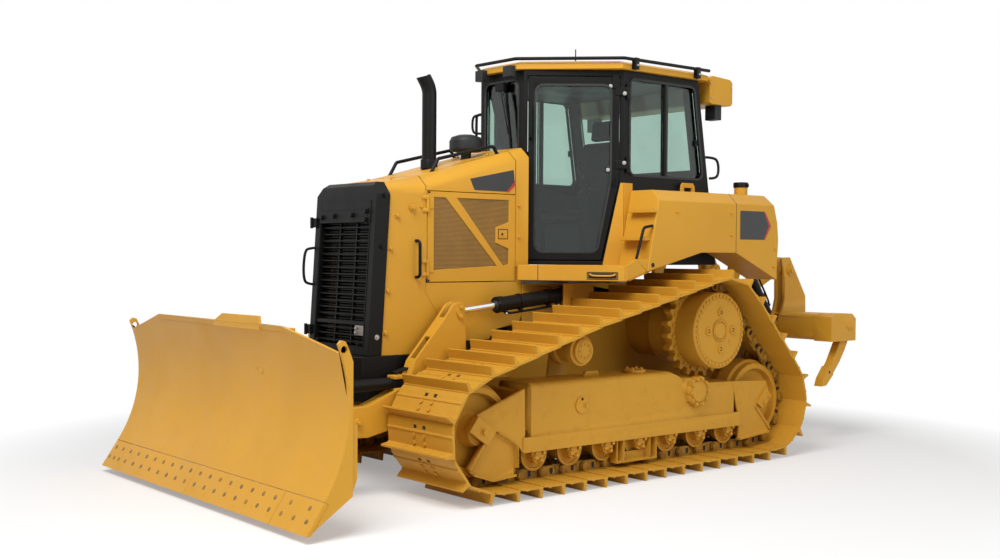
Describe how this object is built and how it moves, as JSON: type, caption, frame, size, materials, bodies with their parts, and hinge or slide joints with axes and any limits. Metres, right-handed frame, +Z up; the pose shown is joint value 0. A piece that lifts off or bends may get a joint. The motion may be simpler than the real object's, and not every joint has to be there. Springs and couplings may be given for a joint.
{
  "type": "bulldozer",
  "caption": "Crawler bulldozer with enclosed cab, power-angle-tilt blade on an inside push frame, opening doors and a parallelogram rear ripper.",
  "frame": {"origin": "middle of the machine's bounding box, on the ground", "axes": "+X forward along the machine, towards the blade; +Y to its left; +Z up"},
  "size_m": [5.884, 2.92, 3.367],
  "materials": {
    "yellow_paint": "satin",
    "black_paint": "satin",
    "steel": "machined",
    "cast": "rough",
    "plastic": "grained",
    "fabric": "woven",
    "glass": "tinted",
    "chrome": "polished"
  },
  "bodies": {
    "chassis": {"main_frame": "yellow_paint", "pivot_shaft": "steel", "nose_beams": "black_paint", "engine": "cast", "radiator": "cast", "hood": "yellow_paint", "radiator_guard": "black_paint", "grille": "black_paint", "exhaust_stack": "black_paint", "air_precleaner": "plastic", "handrails": "black_paint", "cab_frame": "black_paint", "cab_glass": "glass", "cab_roof": "yellow_paint", "roof_rail": "black_paint", "roof_cooler": "yellow_paint", "work_lamps": "plastic", "antenna": "plastic", "cab_controls": "plastic", "seat_cushion": "fabric", "seat_back": "fabric", "tanks": "yellow_paint", "steps": "yellow_paint", "tank_caps": "black_paint", "track_left": "yellow_paint", "track_right": "yellow_paint", "track_frames": "yellow_paint", "idlers": "yellow_paint", "track_rollers": "yellow_paint", "final_drives": "yellow_paint", "ripper_bracket": "yellow_paint"},
    "push_frame": {"push_frame": "yellow_paint"},
    "blade_yoke": {"blade_yoke": "yellow_paint"},
    "blade": {"blade": "yellow_paint", "cutting_edges": "yellow_paint"},
    "lift_barrel_left": {"lift_barrel_left": "black_paint"},
    "lift_barrel_right": {"lift_barrel_right": "black_paint"},
    "lift_rod_left": {"lift_rod_left": "chrome"},
    "lift_rod_right": {"lift_rod_right": "chrome"},
    "angle_barrel_left": {"angle_barrel_left": "black_paint"},
    "angle_barrel_right": {"angle_barrel_right": "black_paint"},
    "angle_rod_left": {"angle_rod_left": "chrome"},
    "angle_rod_right": {"angle_rod_right": "chrome"},
    "tilt_barrel": {"tilt_barrel": "black_paint"},
    "tilt_rod": {"tilt_rod": "chrome"},
    "engine_door_left": {"engine_door_left": "yellow_paint"},
    "engine_door_right": {"engine_door_right": "yellow_paint"},
    "cab_door_left": {"cab_door_left": "black_paint", "door_glass_left": "glass"},
    "cab_door_right": {"cab_door_right": "black_paint", "door_glass_right": "glass"},
    "ripper_arms": {"ripper_arms": "yellow_paint"},
    "ripper_beam": {"ripper_beam": "yellow_paint", "ripper_shanks": "yellow_paint"},
    "ripper_links": {"ripper_links": "yellow_paint"},
    "ripper_barrel_left": {"ripper_barrel_left": "black_paint"},
    "ripper_barrel_right": {"ripper_barrel_right": "black_paint"},
    "ripper_rod_left": {"ripper_rod_left": "chrome"},
    "ripper_rod_right": {"ripper_rod_right": "chrome"}
  },
  "joints": [
    {"name": "blade_lift", "type": "hinge", "parent": "chassis", "child": "push_frame", "pos_m": [0.755, 0, 0.64], "axis": [0, -1, 0], "range_deg": [-12, 20]},
    {"name": "blade_angle", "type": "hinge", "parent": "push_frame", "child": "blade_yoke", "pos_m": [2.5, 0, 0.5], "axis": [0, 0, 1], "range_deg": [-25, 25]},
    {"name": "blade_tilt", "type": "hinge", "parent": "blade_yoke", "child": "blade", "pos_m": [2.5, 0, 0.5], "axis": [1, 0, 0], "range_deg": [-7, 7]},
    {"name": "lift_swing_left", "type": "hinge", "parent": "chassis", "child": "lift_barrel_left", "pos_m": [0.105, 0.503, 1.33], "axis": [0, -1, 0], "range_deg": [-4.94, 7.56]},
    {"name": "lift_slide_left", "type": "slide", "parent": "lift_barrel_left", "child": "lift_rod_left", "axis": [0.995, 0, -0.0995], "range_m": [-0.2327, 0.1436]},
    {"name": "lift_swing_right", "type": "hinge", "parent": "chassis", "child": "lift_barrel_right", "pos_m": [0.105, -0.503, 1.33], "axis": [0, -1, 0], "range_deg": [-4.94, 7.56]},
    {"name": "lift_slide_right", "type": "slide", "parent": "lift_barrel_right", "child": "lift_rod_right", "axis": [0.995, 0, -0.0995], "range_m": [-0.2327, 0.1436]},
    {"name": "angle_swing_left", "type": "hinge", "parent": "push_frame", "child": "angle_barrel_left", "pos_m": [1.69, 0.503, 0.745], "axis": [0, 0, 1], "range_deg": [-1.82, 1.82]},
    {"name": "angle_slide_left", "type": "slide", "parent": "angle_barrel_left", "child": "angle_rod_left", "axis": [1, 0, 0], "range_m": [-0.2206, 0.2206]},
    {"name": "angle_swing_right", "type": "hinge", "parent": "push_frame", "child": "angle_barrel_right", "pos_m": [1.69, -0.503, 0.745], "axis": [0, 0, 1], "range_deg": [-1.82, 1.82]},
    {"name": "angle_slide_right", "type": "slide", "parent": "angle_barrel_right", "child": "angle_rod_right", "axis": [1, 0, 0], "range_m": [-0.2206, 0.2206]},
    {"name": "tilt_swing", "type": "hinge", "parent": "blade_yoke", "child": "tilt_barrel", "pos_m": [2.638, -0.15, 0.9], "axis": [1, 0, 0], "range_deg": [-6.26, 6.26]},
    {"name": "tilt_slide", "type": "slide", "parent": "tilt_barrel", "child": "tilt_rod", "axis": [0, 1, 0], "range_m": [-0.0538, 0.0538]},
    {"name": "engine_door_left_hinge", "type": "hinge", "parent": "chassis", "child": "engine_door_left", "pos_m": [1.346, 0.387, 1.75], "axis": [0, 0, -1], "range_deg": [0, 100]},
    {"name": "engine_door_right_hinge", "type": "hinge", "parent": "chassis", "child": "engine_door_right", "pos_m": [1.346, -0.387, 1.75], "axis": [0, 0, 1], "range_deg": [0, 100]},
    {"name": "cab_door_left_hinge", "type": "hinge", "parent": "chassis", "child": "cab_door_left", "pos_m": [-0.262, 0.782, 2.3], "axis": [0, 0, 1], "range_deg": [0, 60]},
    {"name": "cab_door_right_hinge", "type": "hinge", "parent": "chassis", "child": "cab_door_right", "pos_m": [-0.262, -0.782, 2.3], "axis": [0, 0, -1], "range_deg": [0, 60]},
    {"name": "ripper_lift", "type": "hinge", "parent": "chassis", "child": "ripper_arms", "pos_m": [-1.9, 0, 0.64], "axis": [0, 1, 0], "range_deg": [-42, 3]},
    {"name": "ripper_level", "type": "hinge", "parent": "ripper_arms", "child": "ripper_beam", "pos_m": [-2.635, 0, 0.985], "axis": [0, 1, 0], "range_deg": [-3.5, 42.5]},
    {"name": "ripper_link_swing", "type": "hinge", "parent": "chassis", "child": "ripper_links", "pos_m": [-1.93, 0, 1.155], "axis": [0, 1, 0], "range_deg": [-42.5, 3.5]},
    {"name": "ripper_swing_left", "type": "hinge", "parent": "chassis", "child": "ripper_barrel_left", "pos_m": [-1.99, 0.52, 1.59], "axis": [0, 1, 0], "range_deg": [-6.58, 1.4]},
    {"name": "ripper_slide_left", "type": "slide", "parent": "ripper_barrel_left", "child": "ripper_rod_left", "axis": [-0.5744, 0, -0.8186], "range_m": [-0.0364, 0.4449]},
    {"name": "ripper_swing_right", "type": "hinge", "parent": "chassis", "child": "ripper_barrel_right", "pos_m": [-1.99, -0.52, 1.59], "axis": [0, 1, 0], "range_deg": [-6.58, 1.4]},
    {"name": "ripper_slide_right", "type": "slide", "parent": "ripper_barrel_right", "child": "ripper_rod_right", "axis": [-0.5744, 0, -0.8186], "range_m": [-0.0364, 0.4449]}
  ],
  "couplings": [
    {"joint": "lift_swing_left", "follows": "blade_lift", "ratio": 0.328},
    {"joint": "lift_slide_left", "follows": "blade_lift", "m_per_rad": -0.638},
    {"joint": "lift_swing_right", "follows": "blade_lift", "ratio": 0.328},
    {"joint": "lift_slide_right", "follows": "blade_lift", "m_per_rad": -0.638},
    {"joint": "angle_swing_left", "follows": "blade_angle", "ratio": 0.0327},
    {"joint": "angle_slide_left", "follows": "blade_angle", "m_per_rad": -0.4942},
    {"joint": "angle_swing_right", "follows": "blade_angle", "ratio": 0.0327},
    {"joint": "angle_slide_right", "follows": "blade_angle", "m_per_rad": 0.4942},
    {"joint": "tilt_swing", "follows": "blade_tilt", "ratio": 0.7512},
    {"joint": "tilt_slide", "follows": "blade_tilt", "m_per_rad": -0.3997},
    {"joint": "ripper_level", "follows": "ripper_lift", "ratio": -1},
    {"joint": "ripper_link_swing", "follows": "ripper_lift", "ratio": 1},
    {"joint": "ripper_swing_left", "follows": "ripper_lift", "ratio": 0.1327},
    {"joint": "ripper_slide_left", "follows": "ripper_lift", "m_per_rad": -0.6001},
    {"joint": "ripper_swing_right", "follows": "ripper_lift", "ratio": 0.1327},
    {"joint": "ripper_slide_right", "follows": "ripper_lift", "m_per_rad": -0.6001}
  ]
}
